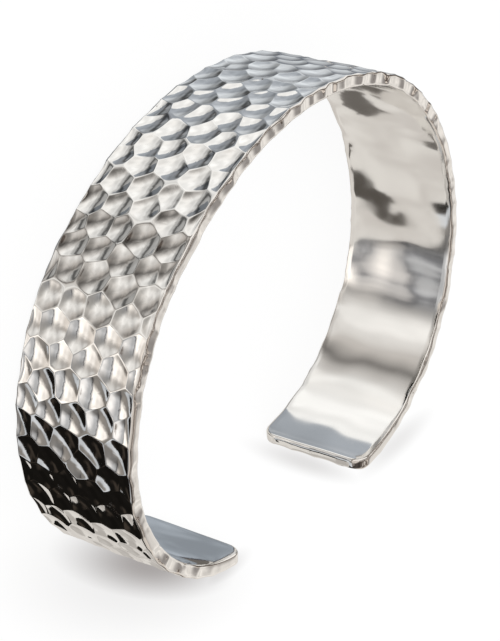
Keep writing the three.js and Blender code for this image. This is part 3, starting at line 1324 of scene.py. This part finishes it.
@dataclass(frozen=True)
class Room:
    """The soft even light, and the room of pale walls, seams and dark cards that the silver mirrors.

    Below eye level the ring's tones lean and each wall shades them up its height. Above it the
    upper ring's tones stand upright.
    """

    ring: tuple[Tone, ...] = (
        Tone("pale sweep", -68, (0.70, 0.64, 0.58)),
        Tone("far streaks, light", -36, (0.48, 0.50, 0.53), 8),
        Tone("far streaks, dark", -8, (0.13, 0.145, 0.17), 5),
        Tone("far wall", -1, (0.64, 0.675, 0.71), 28),
        Tone("foot of the far wall", 39, (0.38, 0.41, 0.45), 10),
        Tone("big softbox", 64, (0.95, 0.945, 0.93), 1.5),
        Tone("softbox, far side", 84, (0.76, 0.75, 0.73), 12),
        Tone("beside the softbox", 104, (0.48, 0.46, 0.44), 8),
        Tone("thin gap", 112, (0.18, 0.17, 0.16), 6),
        Tone("beside the gap", 119, (0.48, 0.455, 0.43), 8),
        Tone("light streak", 129, (0.90, 0.88, 0.85), 14),
        Tone("between the streaks", 147, (0.55, 0.525, 0.50), 8),
        Tone("second streak", 159, (1.0, 0.96, 0.92), 9),
        Tone("dim near wall", 188, (0.25, 0.235, 0.22), 8),
        Tone("pale strip", 208, (0.60, 0.625, 0.655), 2),
        Tone("black card", 216, (0.008, 0.007, 0.006), 1.5),
    )
    far_wall: tuple[Tone, ...] = (
        Tone("below", -1, (0.45, 0.45, 0.45), 0.01),
        Tone("dark seam", -0.80, (0.13, 0.13, 0.13), 0.03),
        Tone("over the seam", -0.75, (0.58, 0.58, 0.58), 0.05),
        Tone("middle", -0.66, (1.0, 1.0, 1.0), 0.06),
        Tone("high", -0.56, (1.12, 1.12, 1.12), 0.07),
    )
    near_corner: Wall = Wall(111, 0.01, (
        Tone("below", -1, (0.85, 0.85, 0.85), 0.01),
        Tone("middle", -0.7, (1.05, 1.05, 1.05), 0.1),
        Tone("falling off", -0.42, (0.5, 0.49, 0.48), 0.2),
        Tone("dark ledge", -0.14, (0.14, 0.12, 0.11), 0.03),
        Tone("over the ledge", -0.07, (1.2, 1.12, 1.02), 0.02),
    ))
    near_wall: Wall = Wall(155, 0.02, (
        Tone("below", -1, (0.75, 0.72, 0.69), 0.01),
        Tone("low", -0.82, (1.0, 0.98, 0.96), 0.08),
        Tone("middle", -0.66, (1.3, 1.28, 1.25), 0.1),
        Tone("before the seam", -0.50, (0.62, 0.62, 0.63), 0.045),
        Tone("thin seam", -0.445, (0.16, 0.17, 0.19), 0.008),
        Tone("over the seam", -0.425, (0.56, 0.585, 0.62), 0.012),
        Tone("higher", -0.34, (1.0, 1.01, 1.03), 0.18),
        Tone("dark ledge", -0.12, (0.3, 0.27, 0.25), 0.03),
        Tone("over the ledge", -0.07, (1.2, 1.08, 0.98), 0.02),
    ))
    side_wall: Wall = Wall(203, 0.02, (Tone("plain", -1, (1.0, 1.0, 1.0)),))
    upper_ring: tuple[Tone, ...] = (
        Tone("warm sweep", -75, (0.74, 0.66, 0.59)),
        Tone("dark gap", -4, (0.10, 0.085, 0.075), 5),
        Tone("softbox", 14, (0.92, 0.88, 0.84), 5),
        Tone("second gap", 52, (0.2, 0.17, 0.15), 5),
        Tone("ceiling", 66, (0.9, 0.86, 0.82), 6),
        Tone("near side", 150, (0.66, 0.60, 0.55), 20),
        Tone("dark door", 214, (0.06, 0.05, 0.045), 6),
        Tone("behind the door", 246, (0.6, 0.55, 0.5), 10),
    )
    eye_level: tuple[float, float] = (-0.08, 0.02)
    lean: float = 0.55
    lean_about: float = 64
    lean_drop: float = 0.5
    level_lean: float = 0.1
    ragged: float = 0.07
    ragged_scale: float = 5.0
    ragged_detail: float = 5.0
    smoke_scale: float = 3.5
    smoke_range: tuple[float, float] = (0.5, 0.75)
    smoke_colour: Colour = (0.035, 0.027, 0.021, 1)
    cloud_scale: float = 4.0
    cloud_range: tuple[float, float] = (0.3, 0.7)
    cloud_shades: tuple[float, float] = (0.84, 1.14)

    @staticmethod
    def ramp(
        graph: Graph,
        place: bpy.types.NodeSocket,
        tones: tuple[Tone, ...],
        span: float,
    ) -> bpy.types.NodeSocket:
        """Turns a table of tones into a ramp.

        Args:
            graph: The world's tree.
            place: The place along the ramp, from 0 to 1.
            tones: The tones, in order.
            span: What the whole ramp spans, in the tones' own unit.

        Returns:
            The colour.
        """
        label = f"{tones[0].what} to {tones[-1].what}"
        ramp = graph.node("ShaderNodeValToRGB", {0: place}, label=label)
        stops = ramp.color_ramp.elements
        first = tones[0].start
        places = [(0.0, tones[0].colour)]
        for before, tone in zip(tones, tones[1:]):
            start = (tone.start - first) / span
            places += [(start, before.colour), (start + tone.fade / span, tone.colour)]
        places.append((1.0, tones[-1].colour))
        while len(stops) < len(places):
            stops.new(RAMP_MIDDLE)
        for stop, (position, colour) in zip(stops, places):
            stop.position = position
            stop.color = (*colour, 1)
        return ramp.outputs[0]

    @staticmethod
    def turn(
        graph: Graph,
        x: bpy.types.NodeSocket,
        y: bpy.types.NodeSocket,
        first: float,
    ) -> bpy.types.NodeSocket:
        """Finds the turn about the upright.

        Args:
            graph: The world's tree.
            x: The direction's X.
            y: The direction's Y.
            first: The degrees that count as 0.

        Returns:
            The turn, from 0 to 1.
        """
        angle = graph.math("DIVIDE", graph.math("ARCTAN2", y, x), 2 * math.pi)
        above_zero = graph.math("ADD", angle, SPARE_TURNS)
        return graph.math("FRACT", graph.math("SUBTRACT", above_zero, first / FULL_TURN))

    def low_room(
        self,
        graph: Graph,
        x: bpy.types.NodeSocket,
        y: bpy.types.NodeSocket,
        z: bpy.types.NodeSocket,
    ) -> bpy.types.NodeSocket:
        """Draws the room below eye level.

        Args:
            graph: The world's tree.
            x: The direction's X.
            y: The direction's Y.
            z: The direction's Z.

        Returns:
            The colour.
        """
        first = self.ring[0].start
        middle = math.radians(self.lean_about)
        rise = graph.math("ADD", z, self.lean_drop)
        leaning_x = graph.math("SUBTRACT", x, graph.math("MULTIPLY", rise, self.lean * math.sin(middle)))
        leaning_y = graph.math("ADD", y, graph.math("MULTIPLY", rise, self.lean * math.cos(middle)))
        turn = self.turn(graph, leaning_x, leaning_y, first)
        level = graph.math("MULTIPLY", graph.math("ADD", z, 1.0), 1 / WALL_SPAN)
        far_level = graph.math("SUBTRACT", level, graph.math("MULTIPLY", x, self.level_lean / WALL_SPAN))
        shade = self.ramp(graph, far_level, self.far_wall, WALL_SPAN)
        for wall in (self.near_corner, self.near_wall, self.side_wall):
            start = (wall.start - first) / FULL_TURN
            reached = graph.between(turn, start - wall.fade, start + wall.fade)
            shade = graph.mixed(reached, shade, self.ramp(graph, level, wall.tones, WALL_SPAN))
        return graph.vector("MULTIPLY", self.ramp(graph, turn, self.ring, FULL_TURN), shade)

    def colours(self, graph: Graph) -> bpy.types.NodeSocket:
        """Draws the whole room.

        Args:
            graph: The world's tree.

        Returns:
            The colour of each direction.
        """
        direction = graph.node("ShaderNodeTexCoord").outputs["Generated"]
        feeds = {"Vector": direction, "Scale": self.ragged_scale, "Detail": self.ragged_detail}
        noise = graph.node("ShaderNodeTexNoise", feeds).outputs["Color"]
        shift = graph.vector("SUBTRACT", noise, (NOISE_MIDDLE, NOISE_MIDDLE, NOISE_MIDDLE))
        ragged = graph.vector("ADD", direction, graph.scaled(shift, 2 * self.ragged))
        x, y, z = graph.parts(ragged)
        upper_turn = self.turn(graph, x, y, self.upper_ring[0].start)
        upper = self.ramp(graph, upper_turn, self.upper_ring, FULL_TURN)
        high = Reflector().before(graph, ragged, upper)
        room = graph.mixed(graph.between(z, *self.eye_level), self.low_room(graph, x, y, z), high)
        smoke = graph.between(graph.noise(ragged, self.smoke_scale, detail=1.0), *self.smoke_range)
        room = graph.vector("ADD", room, graph.mixed(smoke, (0, 0, 0, 1), self.smoke_colour))
        clouds = graph.noise(direction, self.cloud_scale, detail=1.0)
        return graph.scaled(room, graph.between(clouds, *self.cloud_range, *self.cloud_shades))

    def build(self) -> None:
        """Lights all but the silver evenly, and shows the silver the room."""
        world = bpy.data.worlds.new("studio")
        bpy.context.scene.world = world
        world.use_nodes = True
        tree = world.node_tree
        tree.nodes.clear()
        graph = Graph(tree)
        mirrored = graph.node("ShaderNodeBackground", {"Color": self.colours(graph), "Strength": 1.0})
        even = graph.node("ShaderNodeBackground", {"Color": (1.0, 1.0, 1.0, 1), "Strength": 1.0})
        glossy = graph.node("ShaderNodeLightPath").outputs["Is Glossy Ray"]
        both = graph.node("ShaderNodeMixShader", {0: glossy, 1: even.outputs[0], 2: mirrored.outputs[0]})
        graph.node("ShaderNodeOutputWorld", {"Surface": both.outputs[0]})


def main() -> None:
    """Builds the cuff and its studio, and reports each piece."""
    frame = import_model()
    Camera().build()
    Floor().build()
    MirroredCards().build()
    Room().build()
    strip = Strip()
    flat = CuffBody(strip, Hammering()).flat()
    cuff = BendingTree(strip, EdgeAndRipple(), PolishedSilver().material()).apply(flat)
    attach(cuff, "root")
    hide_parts(*frame["nodes"])
    log.info("%s: %d faces", cuff.name, len(cuff.data.polygons))


if __name__ == "__main__":
    logging.basicConfig(level=logging.INFO, format="%(message)s")
    main()
